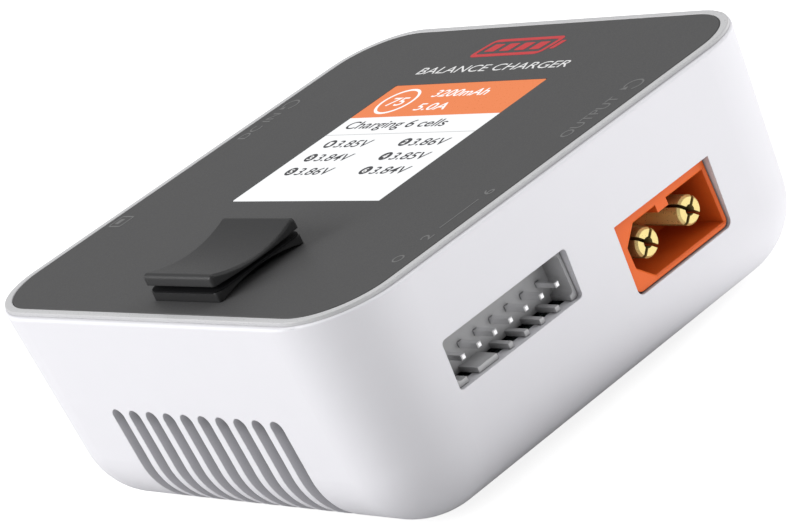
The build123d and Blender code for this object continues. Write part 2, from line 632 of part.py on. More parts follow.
# one snap dome: a thin cap of a sphere, standing on its rim
with BuildPart() as dome:
    with BuildSketch(Plane.XZ):
        dome_r = (DOME_R**2 + DOME_H**2) / (2 * DOME_H)
        with Locations((0, DOME_H - dome_r)):
            Circle(dome_r)
            Circle(dome_r - DOME_T, mode=Mode.SUBTRACT)
        Rectangle(DOME_R, DOME_H, align=(Align.MIN, Align.MIN), mode=Mode.INTERSECT)
    revolve(axis=Axis.Z)

with BuildPart() as snap_domes:
    with Locations(*[(ROCKER_X, ROCKER_Y + n * ARM_REACH, DISPLAY_BOARD_TOP) for n in (-1, 0, 1)]):
        add(dome.part)
snap_domes.part.label = "snap_domes"
export_step(snap_domes.part, "parts/snap_domes.step")

# ---- Board-to-board link ------------------------------------------------------------------

link_places = [(LINK_X, LINK_Y + LINK_PITCH * (n - (LINK_COUNT - 1) / 2)) for n in range(LINK_COUNT)]

with BuildPart() as link_header:
    add(block(LINK_X, LINK_Y, LINK_SPLIT_Z, (LINK_W, LINK_L), DISPLAY_BOARD_BOTTOM - LINK_SPLIT_Z))
    with Locations(*[(x, y, LINK_SPLIT_Z) for x, y in link_places]):
        Box(LINK_PIN_W + THREAD_GAP, LINK_PIN_W + THREAD_GAP, THROUGH, mode=Mode.SUBTRACT)
link_header.part.label = "link_header"
export_step(link_header.part, "parts/link_header.step")

with BuildPart() as link_pins:
    with Locations(*[(x, y, DISPLAY_BOARD_BOTTOM) for x, y in link_places]):
        Box(LINK_PIN_W, LINK_PIN_W, DISPLAY_BOARD_BOTTOM - LINK_SPLIT_Z + LINK_PIN_REACH, align=HANG)
link_pins.part.label = "link_pins"
export_step(link_pins.part, "parts/link_pins.step")

with BuildPart() as link_socket:
    add(block(LINK_X, LINK_Y, BOARD_TOP, (LINK_W + 0.4, LINK_L), LINK_SPLIT_Z - GAP - BOARD_TOP))
    with Locations(*[(x, y, LINK_SPLIT_Z) for x, y in link_places]):
        Box(LINK_PIN_W + 0.3, LINK_PIN_W + 0.3, LINK_PIN_REACH + 0.8, align=HANG, mode=Mode.SUBTRACT)
link_socket.part.label = "link_socket"
export_step(link_socket.part, "parts/link_socket.step")

# ---- Main board and what is soldered to it ------------------------------------------------

with BuildPart() as main_board:
    add(block(0, 0, BOARD_BOTTOM, (BOARD_W, BOARD_W), BOARD_T, BOARD_R))
    # a power socket straddles each side edge
    notch_x = POWER_BACK_X - 0.3
    notch_l = BOARD_W / 2
    with Locations(*[(side * (notch_x + notch_l / 2), POWER_Y, BOARD_BOTTOM) for side in (-1, 1)]):
        Box(notch_l, POWER_W + 4 * FIT, BOARD_T, align=BASE, mode=Mode.SUBTRACT)
    with Locations(*[(x, y, BOARD_TOP) for x, y in POSTS]):
        Hole(CASE_SCREW_R + 3 * FIT, depth=BOARD_T)
    with Locations(*[(x, y, BOARD_TOP) for x, y in SINK_SCREWS]):
        Hole(SMALL_SCREW_R + 1.5 * FIT, depth=BOARD_T)
main_board.part.label = "main_board"
export_step(main_board.part, "parts/main_board.step")

with BuildPart() as battery_connector_housing:
    with BuildSketch(Plane.YZ.offset(POWER_BACK_X)):
        with Locations((POWER_Y, POWER_Z)):
            add(power_outline(0))
    extrude(amount=POWER_FACE_X - POWER_BACK_X)
    # keyed cavity with a flared mouth
    with BuildSketch(side_plane(POWER_FACE_X, POWER_Y, POWER_Z)) as socket_cavity:
        with BuildLine():
            Polyline(*power_cavity, close=True)
        make_face()
    extrude(amount=BULLET_ROOT_X - POWER_FACE_X, mode=Mode.SUBTRACT)
    with BuildSketch(side_plane(POWER_FACE_X, POWER_Y, POWER_Z)):
        add(socket_cavity.sketch_local)
        offset(amount=POWER_FLARE, kind=Kind.INTERSECTION)
    extrude(amount=-POWER_FLARE, taper=45, mode=Mode.SUBTRACT)
    # small keying rib on the cavity's roof
    with Locations((POWER_FACE_X, POWER_Y + 0.1, POWER_Z + 3.3)):
        Box(2.5, 1.8, 1.1, align=(Align.MAX, Align.CENTER, Align.MAX))
    with BuildSketch(Plane.YZ.offset(POWER_BACK_X)):
        with Locations(*bullet_centres):
            Circle(BULLET_ROOT_R + THREAD_GAP)
    extrude(amount=BULLET_ROOT_X - POWER_BACK_X, mode=Mode.SUBTRACT)
battery_connector_housing.part.label = "battery_connector_housing"
export_step(battery_connector_housing.part, "parts/battery_connector_housing.step")

# one bullet contact, tip at the origin, pointing along +X: four sprung prongs round a bore
with BuildPart() as bullet:
    with BuildSketch(Plane.YZ.offset(BULLET_ROOT_X - BULLET_TIP_X)):
        Circle(BULLET_R)
    extrude(amount=BULLET_TIP_X - BULLET_ROOT_X)
    chamfer(bullet.edges().sort_by(Axis.X)[-1], 0.3, 0.25)
    with BuildSketch(Plane.YZ.offset(POWER_BACK_X - BULLET_TIP_X)):
        Circle(BULLET_ROOT_R)
    extrude(amount=BULLET_ROOT_X - POWER_BACK_X)
    with BuildSketch(Plane.YZ):
        Circle(BULLET_BORE_R)
        for turn in (45, 135):
            Rectangle(BULLET_SLIT_W, 2 * BULLET_R + 1, rotation=turn)
    extrude(amount=-BULLET_SLIT, mode=Mode.SUBTRACT)
    # flat tail, soldered to the board
    with Locations((POWER_BACK_X - BULLET_TIP_X + 1, 0, BOARD_TOP - POWER_Z + THREAD_GAP)):
        Box(5.5, 2.6, 0.8, align=(Align.MAX, Align.CENTER, Align.MIN))

with BuildPart() as battery_connector_pins:
    with Locations(*[(BULLET_TIP_X, y, z) for y, z in bullet_centres]):
        add(bullet.part)
battery_connector_pins.part.label = "battery_connector_pins"
export_step(battery_connector_pins.part, "parts/battery_connector_pins.step")

with BuildPart() as input_connector_housing:
    add(half_turned(battery_connector_housing.part))
input_connector_housing.part.label = "input_connector_housing"
export_step(input_connector_housing.part, "parts/input_connector_housing.step")

with BuildPart() as input_connector_pins:
    add(half_turned(battery_connector_pins.part))
input_connector_pins.part.label = "input_connector_pins"
export_step(input_connector_pins.part, "parts/input_connector_pins.step")

with BuildPart() as balance_header_housing:
    with BuildSketch(Plane.YZ.offset(BALANCE_BACK_X)):
        with Locations((BALANCE_Y, HEADER_Z + HEADER_H / 2)):
            RectangleRounded(HEADER_W, HEADER_H, HEADER_CORNER_R)
    extrude(amount=BALANCE_FACE_X - BALANCE_BACK_X)
    with BuildSketch(Plane.YZ.offset(BALANCE_FACE_X)) as header_mouth:
        with Locations((BALANCE_Y, HEADER_Z + HEADER_FLOOR_T)):
            Rectangle(
                HEADER_W - 2 * HEADER_SIDE_T,
                HEADER_H - HEADER_FLOOR_T - HEADER_ROOF_T,
                align=(Align.CENTER, Align.MIN),
            )
        fillet(header_mouth.vertices().group_by(Axis.Z)[0], 0.6)
    extrude(amount=-HEADER_DEPTH, mode=Mode.SUBTRACT)
    # windows through the lower wall leave a wide tab and a rib between each pair of pins
    window_align = (Align.MAX, Align.CENTER, Align.MAX)
    window_z = HEADER_Z + HEADER_FLOOR_T + FIT
    with Locations(*[(BALANCE_FACE_X, y, window_z) for y in balance_pin_ys[2:]]):
        Box(HEADER_DEPTH, BALANCE_PITCH - HEADER_RIB_W, 2, align=window_align, mode=Mode.SUBTRACT)
    with Locations((BALANCE_FACE_X, BALANCE_Y - 7.05, window_z)):
        Box(HEADER_DEPTH, 1.7, 2, align=window_align, mode=Mode.SUBTRACT)
    pin_hole = BALANCE_PIN_W + 2 * THREAD_GAP
    with Locations(*[(BALANCE_BACK_X, y, BALANCE_PIN_Z) for y in balance_pin_ys]):
        Box(THROUGH, pin_hole, pin_hole, mode=Mode.SUBTRACT)
balance_header_housing.part.label = "balance_header_housing"
export_step(balance_header_housing.part, "parts/balance_header_housing.step")

with BuildPart() as balance_header_pins:
    pin_l = BALANCE_FACE_X + FIT - BALANCE_TAIL_X
    with Locations(*[(BALANCE_TAIL_X, y, BALANCE_PIN_Z) for y in balance_pin_ys]):
        Box(pin_l, BALANCE_PIN_W, BALANCE_PIN_W, align=(Align.MIN, Align.CENTER, Align.CENTER))
        Box(
            BALANCE_PIN_W,
            BALANCE_PIN_W,
            BALANCE_PIN_Z - BOARD_TOP,
            align=(Align.MIN, Align.CENTER, Align.MAX),
        )
    chamfer(balance_header_pins.faces().group_by(Axis.X)[-1].edges(), 0.12)
balance_header_pins.part.label = "balance_header_pins"
export_step(balance_header_pins.part, "parts/balance_header_pins.step")

with BuildPart() as usb_shell:
    with BuildSketch(Plane.YZ.offset(USB_FACE_X)):
        with Locations((USB_Y, USB_Z)):
            RectangleRounded(USB_W, USB_H, USB_R)
    extrude(amount=USB_L)
    with BuildSketch(Plane.YZ.offset(USB_FACE_X)):
        with Locations((USB_Y, USB_Z)):
            RectangleRounded(USB_W + 2 * USB_SKIN, USB_H + 1.8 * USB_SKIN, USB_R + 2 * FIT)
    extrude(amount=USB_SKIN)
    with BuildSketch(Plane.YZ.offset(USB_FACE_X)):
        with Locations((USB_Y, USB_Z)):
            RectangleRounded(USB_W - 2 * USB_SKIN, USB_H - 2 * USB_SKIN, USB_R - 2 * FIT)
    extrude(amount=USB_L - 4 * FIT, mode=Mode.SUBTRACT)
usb_shell.part.label = "usb_shell"
export_step(usb_shell.part, "parts/usb_shell.step")

with BuildPart() as usb_tongue:
    with BuildSketch(Plane.YZ.offset(USB_FACE_X + 4.4)):
        with Locations((USB_Y, USB_Z)):
            RectangleRounded(USB_W - 2 * USB_SKIN - FIT, USB_H - 2 * USB_SKIN - FIT, USB_R - 2 * FIT)
    extrude(amount=0.8)
    with Locations((USB_FACE_X + 4.5, USB_Y, USB_Z + 0.1)):
        Box(3.8, 3.7, 0.6, align=(Align.MAX, Align.CENTER, Align.MIN))
usb_tongue.part.label = "usb_tongue"
export_step(usb_tongue.part, "parts/usb_tongue.step")

with BuildPart() as controller_chip:
    add(block(2.0, -12.0, BOARD_TOP, (10.0, 10.0), 1.4))
    chamfer(controller_chip.faces().sort_by(Axis.Z)[-1].edges(), 0.2)
    # dimple that marks the first leg
    with Locations((-1.8, -8.2, BOARD_TOP + 1.4)):
        Cylinder(0.5, 0.2, mode=Mode.SUBTRACT)
controller_chip.part.label = "controller_chip"
export_step(controller_chip.part, "parts/controller_chip.step")

with BuildPart() as crystal:
    add(block(2.0, -3.5, BOARD_TOP, (3.2, 2.5), 0.8, 0.3))
crystal.part.label = "crystal"
export_step(crystal.part, "parts/crystal.step")

with BuildPart() as buzzer:
    with Locations((-6.0, 14.0, BOARD_TOP)):
        Cylinder(4.5, 4.2, align=BASE)
        Cylinder(0.8, 10, mode=Mode.SUBTRACT)
    chamfer(buzzer.faces().sort_by(Axis.Z)[-1].outer_wire().edges(), 0.3)
buzzer.part.label = "buzzer"
export_step(buzzer.part, "parts/buzzer.step")

with BuildPart() as bulk_capacitors:
    with Locations(*[(x, 27.6, BOARD_TOP) for x in (-10.5, -3.5, 3.5, 10.5)]):
        Cylinder(3.15, 7.6, align=BASE)
    fillet(bulk_capacitors.faces().group_by(Axis.Z)[-1].edges(), 0.5)
bulk_capacitors.part.label = "bulk_capacitors"
export_step(bulk_capacitors.part, "parts/bulk_capacitors.step")

with BuildPart() as shunt_resistors:
    with Locations(*[(9.5, y, BOARD_TOP) for y, z in bullet_centres]):
        Box(3.2, 6.4, 0.8, align=BASE)
    chamfer(shunt_resistors.faces().group_by(Axis.Z)[-1].edges(), 0.15)
shunt_resistors.part.label = "shunt_resistors"
export_step(shunt_resistors.part, "parts/shunt_resistors.step")

with BuildPart() as balance_resistors:
    with Locations(*[(x, y, BOARD_TOP) for x in (12.5, 17.0) for y in balance_pin_ys[1:]]):
        Box(3.2, 1.6, 0.6, align=BASE)
balance_resistors.part.label = "balance_resistors"
export_step(balance_resistors.part, "parts/balance_resistors.step")

with BuildPart() as power_inductors:
    with Locations(*[(x, -7.0, BOARD_BOTTOM) for x in (-24.0, 24.0)]):
        Box(12.0, 12.0, 6.4, align=HANG)
    fillet(power_inductors.edges().filter_by(Axis.Z), 1.5)
    chamfer(power_inductors.faces().group_by(Axis.Z)[0].edges(), 0.4)
power_inductors.part.label = "power_inductors"
export_step(power_inductors.part, "parts/power_inductors.step")

with BuildPart() as power_transistors:
    with Locations(*[(x, y, BOARD_BOTTOM) for x in (-9.0, -3.0, 3.0, 9.0) for y in (19.6, 25.8)]):
        Box(5.0, 5.6, 1.0, align=HANG)
power_transistors.part.label = "power_transistors"
export_step(power_transistors.part, "parts/power_transistors.step")

with BuildPart() as thermal_pad:
    add(block(0, POST_Y, SINK_BASE_Z + SINK_BASE_T + GAP, (23.0, SINK_L - 2 * FIT), 0.5))
thermal_pad.part.label = "thermal_pad"
export_step(thermal_pad.part, "parts/thermal_pad.step")

with BuildPart() as heat_sink:
    add(block(0, POST_Y, SINK_BASE_Z, (SINK_W, SINK_L), SINK_BASE_T))
    with Locations(*[(x, POST_Y, SINK_BASE_Z) for x in fin_row]):
        Box(FIN_T, SINK_L, FIN_H, align=HANG)
    with Locations(*[(x, y, SINK_BASE_Z + SINK_BASE_T) for x, y in SINK_SCREWS]):
        Cylinder(SINK_BOSS_R, SINK_BOSS_H, align=BASE)
        Cylinder(SMALL_SCREW_R + THREAD_GAP, THROUGH, mode=Mode.SUBTRACT)
heat_sink.part.label = "heat_sink"
export_step(heat_sink.part, "parts/heat_sink.step")

sink_screw = pan_screw(SMALL_HEAD_R, SMALL_HEAD_H, SMALL_SCREW_R, BOARD_T + 3.0).rotate(Axis.X, 180)
with BuildPart() as heat_sink_screws:
    with Locations(*[(x, y, BOARD_TOP) for x, y in SINK_SCREWS]):
        add(sink_screw)
heat_sink_screws.part.label = "heat_sink_screws"
export_step(heat_sink_screws.part, "parts/heat_sink_screws.step")

# ---- Fan ----------------------------------------------------------------------------------

with BuildPart() as fan_frame:
    add(block(0, 0, FAN_Z, (FAN_W, FAN_W), FAN_T, 2.0))
    with Locations((0, 0, FAN_Z)):
        Cylinder(FAN_BORE_R, FAN_T, align=BASE, mode=Mode.SUBTRACT)
    with Locations(*[(x, y, FAN_Z + FAN_T) for x, y in FAN_HOLES]):
        Hole(FAN_SCREW_R + 2 * FIT, depth=FAN_T)
    # motor plate on four struts, with the bearing's tube on it
    with Locations((0, 0, FAN_Z)):
        Cylinder(7.0, FAN_PLATE_T, align=BASE)
        Cylinder(BEARING_R + 0.7, FAN_PLATE_T + BEARING_H, align=BASE)
        with PolarLocations(10.3, 4, 20):
            Box(7.6, 1.8, FAN_PLATE_T, align=BASE)
        Cylinder(BEARING_R + THREAD_GAP, THROUGH, align=BASE, mode=Mode.SUBTRACT)
        Cylinder(BEARING_R + 0.5, 0.5, align=BASE)
fan_frame.part.label = "fan_frame"
export_step(fan_frame.part, "parts/fan_frame.step")

with BuildPart() as fan_bearing:
    with Locations((0, 0, FAN_Z + FAN_PLATE_T - FIT)):
        Cylinder(BEARING_R, BEARING_H, align=BASE)
        Cylinder(SHAFT_R + RUN, BEARING_H, align=BASE, mode=Mode.SUBTRACT)
fan_bearing.part.label = "fan_bearing"
export_step(fan_bearing.part, "parts/fan_bearing.step")

with BuildPart() as fan_shaft:
    with Locations((0, 0, FAN_Z + 0.7)):
        Cylinder(SHAFT_R, SHAFT_L, align=BASE)
    fillet(fan_shaft.edges().sort_by(Axis.Z)[0], 0.3)
fan_shaft.part.label = "fan_shaft"
export_step(fan_shaft.part, "parts/fan_shaft.step")

# one slanted blade, its root sunk into the hub
with BuildPart() as blade:
    with BuildSketch(Plane.YZ.offset(HUB_R - 0.4)):
        with Locations((0, FAN_Z + 4.0)):
            Rectangle(BLADE_T, BLADE_CHORD, rotation=BLADE_ANGLE)
    extrude(amount=FAN_BORE_R - 0.9 - HUB_R)

with BuildPart() as fan_rotor:
    with Locations((0, 0, HUB_Z)):
        Cylinder(HUB_R, HUB_H, align=BASE)
    fillet(fan_rotor.edges().sort_by(Axis.Z)[-1], 0.5)
    with PolarLocations(0, BLADE_COUNT):
        add(blade.part)
    with Locations((0, 0, HUB_Z)):
        Cylinder(HUB_R - HUB_WALL, HUB_H - HUB_WALL, align=BASE, mode=Mode.SUBTRACT)
    # boss inside the hub that grips the shaft's end
    with Locations((0, 0, FAN_Z + 0.7 + SHAFT_L)):
        Cylinder(1.7, 0.9, align=HANG)
        Cylinder(SHAFT_R + 0.01, 0.9, align=HANG, mode=Mode.SUBTRACT)
fan_rotor.part.label = "fan_rotor"
export_step(fan_rotor.part, "parts/fan_rotor.step")

with BuildPart() as fan_magnet:
    with Locations((0, 0, FAN_Z + 1.9)):
        Cylinder(HUB_R - HUB_WALL - THREAD_GAP, 3.4, align=BASE)
        Cylinder(HUB_R - 2 * HUB_WALL, 3.4, align=BASE, mode=Mode.SUBTRACT)
fan_magnet.part.label = "fan_magnet"
export_step(fan_magnet.part, "parts/fan_magnet.step")

with BuildPart() as fan_stator:
    with BuildSketch(Plane.XY.offset(FAN_Z + 2.4)):
        Circle(5.6)
        Circle(4.8, mode=Mode.SUBTRACT)
        with PolarLocations(5.2, 4, 45):
            Rectangle(3.0, 1.4, mode=Mode.SUBTRACT)
        Circle(3.1)
        with PolarLocations(3.8, 4):
            Rectangle(2.6, 1.4)
        Circle(BEARING_R + 0.72, mode=Mode.SUBTRACT)
    extrude(amount=1.8)
fan_stator.part.label = "fan_stator"
export_step(fan_stator.part, "parts/fan_stator.step")

with BuildPart() as fan_coils:
    with PolarLocations(3.95, 4):
        with Locations((0, 0, FAN_Z + 3.3)):
            Box(1.3, 2.4, 2.8)
            Box(1.5, 1.5, 1.9, mode=Mode.SUBTRACT)
fan_coils.part.label = "fan_coils"
export_step(fan_coils.part, "parts/fan_coils.step")

fan_screw = pan_screw(CASE_HEAD_R, FAN_HEAD_H, FAN_SCREW_R, FAN_T + FAN_SCREW_BITE).rotate(Axis.X, 180)
with BuildPart() as fan_screws:
    with Locations(*[(x, y, FAN_Z + FAN_T) for x, y in FAN_HOLES]):
        add(fan_screw)
fan_screws.part.label = "fan_screws"
export_step(fan_screws.part, "parts/fan_screws.step")

with BuildPart() as fan_socket:
    with Locations((FAN_PLUG_X, FAN_PLUG_Y, BOARD_BOTTOM)):
        Box(6.0, 4.0, 3.2, align=HANG)
    with Locations((FAN_PLUG_X, FAN_PLUG_Y - 2.0, FAN_PLUG_Z)):
        Box(4.7, 5.0, 2.3, mode=Mode.SUBTRACT)
fan_socket.part.label = "fan_socket"
export_step(fan_socket.part, "parts/fan_socket.step")

with BuildPart() as fan_plug:
    with Locations((FAN_PLUG_X, FAN_PLUG_Y - 1.2, FAN_PLUG_Z)):
        Box(4.5, 3.2, 2.1)
    socket_w = 2 * WIRE_R + 2 * THREAD_GAP
    with Locations(*[(x, FAN_PLUG_Y - 2.8, FAN_PLUG_Z) for x in wire_xs]):
        Box(socket_w, 1.6, socket_w, mode=Mode.SUBTRACT)
fan_plug.part.label = "fan_plug"
export_step(fan_plug.part, "parts/fan_plug.step")

with BuildPart() as fan_leads:
    for x in wire_xs:
        with BuildLine() as wire_path:
            Spline(
                (x, FAN_PLUG_Y - 2.1, FAN_PLUG_Z),
                (x, FAN_PLUG_Y - 5.0, FAN_PLUG_Z - 2.4),
                (x, -FAN_W / 2 - 1.2, FAN_Z + 1.8),
                (x, -FAN_W / 2 - 0.02, FAN_Z + 1.6),
                tangents=((0, -1, 0), (0, 1, 0)),
            )
        with BuildSketch(Plane(wire_path.line @ 0, z_dir=wire_path.line % 0)):
            Circle(WIRE_R)
        sweep()
fan_leads.part.label = "fan_leads"
export_step(fan_leads.part, "parts/fan_leads.step")
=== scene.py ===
"""Looks of the balance battery charger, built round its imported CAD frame.

Blender's unit is the metre. Sizes and places on the object are in millimetres here, and are multiplied by MM
where they reach Blender; names in _um are micrometres. The floor and the lamps are set out in metres.
"""

import json
from math import cos, pi, radians, sin, sqrt

import bmesh
import bpy
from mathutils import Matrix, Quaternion, Vector


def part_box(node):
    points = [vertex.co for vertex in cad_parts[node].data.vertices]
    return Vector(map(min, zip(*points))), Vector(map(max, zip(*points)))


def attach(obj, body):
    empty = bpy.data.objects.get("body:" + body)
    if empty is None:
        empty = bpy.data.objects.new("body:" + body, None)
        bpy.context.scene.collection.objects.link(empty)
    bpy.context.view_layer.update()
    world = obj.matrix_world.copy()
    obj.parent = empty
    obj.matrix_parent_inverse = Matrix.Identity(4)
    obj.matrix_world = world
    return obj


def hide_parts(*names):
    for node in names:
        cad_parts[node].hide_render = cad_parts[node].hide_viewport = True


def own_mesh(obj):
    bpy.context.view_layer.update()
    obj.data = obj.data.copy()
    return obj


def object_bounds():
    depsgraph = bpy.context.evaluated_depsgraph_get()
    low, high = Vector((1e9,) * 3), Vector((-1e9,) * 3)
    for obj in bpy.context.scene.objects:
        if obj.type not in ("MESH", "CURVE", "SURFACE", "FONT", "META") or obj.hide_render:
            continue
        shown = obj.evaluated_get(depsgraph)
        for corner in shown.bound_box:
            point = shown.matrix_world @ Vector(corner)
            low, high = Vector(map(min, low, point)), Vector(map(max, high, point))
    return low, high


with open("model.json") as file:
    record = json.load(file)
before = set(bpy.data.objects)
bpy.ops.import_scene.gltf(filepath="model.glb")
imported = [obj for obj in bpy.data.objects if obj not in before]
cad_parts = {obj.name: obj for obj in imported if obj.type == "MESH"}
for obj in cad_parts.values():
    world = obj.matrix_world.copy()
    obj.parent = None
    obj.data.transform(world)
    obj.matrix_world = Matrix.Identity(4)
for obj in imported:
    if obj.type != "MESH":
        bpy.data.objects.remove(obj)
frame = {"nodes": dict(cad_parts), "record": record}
cad_low, cad_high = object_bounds()
nodes = frame["nodes"]
MM = 0.001


def box_mm(node):
    """Lowest and highest corner of a CAD node, in millimetres."""
    low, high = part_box(node)
    return low / MM, high / MM


def new_object(name, data):
    """An object with this data, linked to the scene."""
    made = bpy.data.objects.new(name, data)
    bpy.context.scene.collection.objects.link(made)
    return made


# ---- Node helpers -------------------------------------------------------------------------

NOISE_LOW = 0.3  # most of a noise lies between these two
NOISE_HIGH = 0.7

# the Mix node's sockets when it mixes colours
MIX_FACTOR = 0
MIX_A = 6
MIX_B = 7
MIX_RESULT = 2


def add_node(tree, kind, inputs=None, **settings):
    """A shader node; an input given as a socket is linked, and anything else is its value."""
    made = tree.nodes.new("ShaderNode" + kind)
    for key, value in settings.items():
        setattr(made, key, value)
    for key, value in (inputs or {}).items():
        if isinstance(value, bpy.types.NodeSocket):
            tree.links.new(value, made.inputs[key])
        else:
            made.inputs[key].default_value = value
    return made


def maths(tree, operation, a, b=0.0):
    return add_node(tree, "Math", {0: a, 1: b}, operation=operation).outputs[0]


def noise(tree, place, size_mm, detail=3.0):
    """Cloudy pattern from 0 to 1, whose lumps are about size_mm across."""
    inputs = {"Vector": place, "Scale": 1 / (size_mm * MM), "Detail": detail}
    return add_node(tree, "TexNoise", inputs).outputs["Fac"]


def spread(tree, value, low, high):
    """Takes NOISE_LOW to NOISE_HIGH to low to high."""
    inputs = {"Value": value, "From Min": NOISE_LOW, "From Max": NOISE_HIGH, "To Min": low, "To Max": high}
    return add_node(tree, "MapRange", inputs).outputs["Result"]


def blend_colours(tree, factor, a, b):
    """a where factor is 0 and b where it is 1."""
    made = add_node(tree, "Mix", data_type="RGBA")
    for slot, value in ((MIX_FACTOR, factor), (MIX_A, a), (MIX_B, b)):
        if isinstance(value, bpy.types.NodeSocket):
            tree.links.new(value, made.inputs[slot])
        else:
            made.inputs[slot].default_value = value
    return made.outputs[MIX_RESULT]


def shade(colour, factor):
    """The colour times factor, no part of it over 1, with an opaque alpha."""
    return (*[min(1.0, c * factor) for c in colour], 1.0)


# ---- Finishes -----------------------------------------------------------------------------

CLOUD_MM = 5.0  # size of the lumps in a finish's colour
ROUGHNESS_SWING = 0.12  # how far the roughness strays, as a part of itself
COAT_ROUGHNESS = 0.12


def finish(name, colour, roughness, metallic=0.0, grain_mm=0.3, grain_um=3.0, mottle=0.04,
           bevel_mm=0.12, specular=0.5, coat=0.0, crevice=0.0, crevice_mm=3.0):
    """Mottled colour, uneven roughness, fine grain and softly rounded edges: the base of each finish.

    The crevice darkening is painted shade: the colour is painted this much darker where surfaces within the
    given distance in mm shut the light out.
    Returns the material, its tree, its main shader, the piece's own coordinates and the grain's bump.
    """
    mat = bpy.data.materials.new(name)
    mat.use_nodes = True
    tree = mat.node_tree
    shader = tree.nodes["Principled BSDF"]
    place = add_node(tree, "TexCoord").outputs["Object"]
    cloud = noise(tree, place, CLOUD_MM)
    grain = noise(tree, place, grain_mm)
    colours = blend_colours(tree, cloud, shade(colour, 1 - mottle), shade(colour, 1 + mottle))
    # painted shade: an ambient occlusion node darkens the colour in hollows and crevices
    if crevice:
        openness = add_node(tree, "AmbientOcclusion", {"Distance": crevice_mm * MM}, samples=8).outputs["AO"]
        colours = blend_colours(tree, openness, shade(colour, 1 - crevice), colours)
    rounded = add_node(tree, "Bevel", {"Radius": bevel_mm * MM}, samples=4).outputs["Normal"]
    bump_inputs = {"Height": grain, "Distance": grain_um * 1e-6, "Strength": 1.0, "Normal": rounded}
    bump = add_node(tree, "Bump", bump_inputs)
    tree.links.new(colours, shader.inputs["Base Color"])
    uneven = spread(tree, grain, roughness * (1 - ROUGHNESS_SWING), roughness * (1 + ROUGHNESS_SWING))
    tree.links.new(uneven, shader.inputs["Roughness"])
    tree.links.new(bump.outputs["Normal"], shader.inputs["Normal"])
    shader.inputs["Metallic"].default_value = metallic
    shader.inputs["Specular IOR Level"].default_value = specular
    shader.inputs["Coat Weight"].default_value = coat
    shader.inputs["Coat Roughness"].default_value = COAT_ROUGHNESS
    return mat, tree, shader, place, bump


def moulded(name, colour, roughness, **more):
    return finish(name, colour, roughness, **more)[0]


def metal(name, colour, roughness, metallic=1.0, **more):
    return finish(name, colour, roughness, metallic=metallic, mottle=0.03, bevel_mm=0.06, **more)[0]


MASK_COLOUR = (0.010, 0.013, 0.013)
PLATED_COLOUR = (0.75, 0.62, 0.35)
TRACK_CELL_MM = 5.0
TRACK_LINES = {"Mortar Size": 0.04, "Brick Width": 0.9, "Row Height": 0.24}  # in parts of a cell
TRACK_BRIGHTNESS = 2.4  # in parts of the mask's
TRACK_RELIEF = 8.0  # in grain heights
HOLE_SPACING_MM = 1.9
HOLE_SIZE = 0.14  # in parts of the spacing


def circuit_board(name):
    """Black solder mask with the raised lines of tracks under it and scattered plated holes."""
    mat, tree, shader, place, bump = finish(name, MASK_COLOUR, 0.28, grain_mm=0.5)
    bricks = {"Vector": place, "Scale": 1 / (TRACK_CELL_MM * MM), **TRACK_LINES}
    tracks = add_node(tree, "TexBrick", bricks).outputs["Fac"]
    cells = {"Vector": place, "Scale": 1 / (HOLE_SPACING_MM * MM)}
    dots = add_node(tree, "TexVoronoi", cells, feature="F1").outputs["Distance"]
    hole = maths(tree, "LESS_THAN", dots, HOLE_SIZE)
    mask = blend_colours(tree, tracks, (*MASK_COLOUR, 1), shade(MASK_COLOUR, TRACK_BRIGHTNESS))
    plated = blend_colours(tree, hole, mask, (*PLATED_COLOUR, 1))
    tree.links.new(plated, shader.inputs["Base Color"])
    tree.links.new(hole, shader.inputs["Metallic"])
    height = maths(tree, "MULTIPLY", tracks, TRACK_RELIEF)
    tree.links.new(height, bump.inputs["Height"])
    return mat


WAVE_TURN = 20  # the wave texture turns this many radians in one unit, at scale 1
BAND_WAVER = 0.4
BAND_RELIEF_MM = 0.03


def banded(name, colour, gap_shade_and_line_colour, pitch_mm, axis, roughness, metallic=0.0):
    """Fine parallel bands across an axis, such as wound wire or an extruded fin's die lines. Between wound
    turns the darker colour is painted shade; on the fin it is the darker die lines.
    """
    mat, tree, shader, place, bump = finish(name, colour, roughness, metallic=metallic, grain_mm=0.2)
    scale = 1 / (WAVE_TURN * pitch_mm * MM) * 2 * pi
    ridges = {"Vector": place, "Scale": scale, "Distortion": BAND_WAVER}
    waves = add_node(tree, "TexWave", ridges, bands_direction=axis).outputs["Fac"]
    # darker band colour: painted shade between wound turns, die lines on a fin
    tree.links.new(blend_colours(tree, waves, (*gap_shade_and_line_colour, 1), (*colour, 1)), shader.inputs["Base Color"])
    tree.links.new(waves, bump.inputs["Height"])
    bump.inputs["Distance"].default_value = BAND_RELIEF_MM * MM
    return mat


PIT_MM = 0.35
PIT_DEPTH_MM = 0.06


def foam(name, colour):
    """Soft cellular sheet with pits."""
    mat, tree, _, place, bump = finish(name, colour, 0.85, specular=0.2)
    pits = add_node(tree, "TexVoronoi", {"Vector": place, "Scale": 1 / (PIT_MM * MM)}).outputs["Distance"]
    tree.links.new(pits, bump.inputs["Height"])
    bump.inputs["Distance"].default_value = PIT_DEPTH_MM * MM
    return mat


THREAD_LEVEL = 0.75  # a thread is where the weave stands higher than this, out of 1
WEAVE_DEPTH_MM = 0.05
# the openings are painted shade: a dark colour on the cloth stands for the shade seen through its holes
OPENING_PAINTED_SHADE = 0.1  # in parts of the thread's


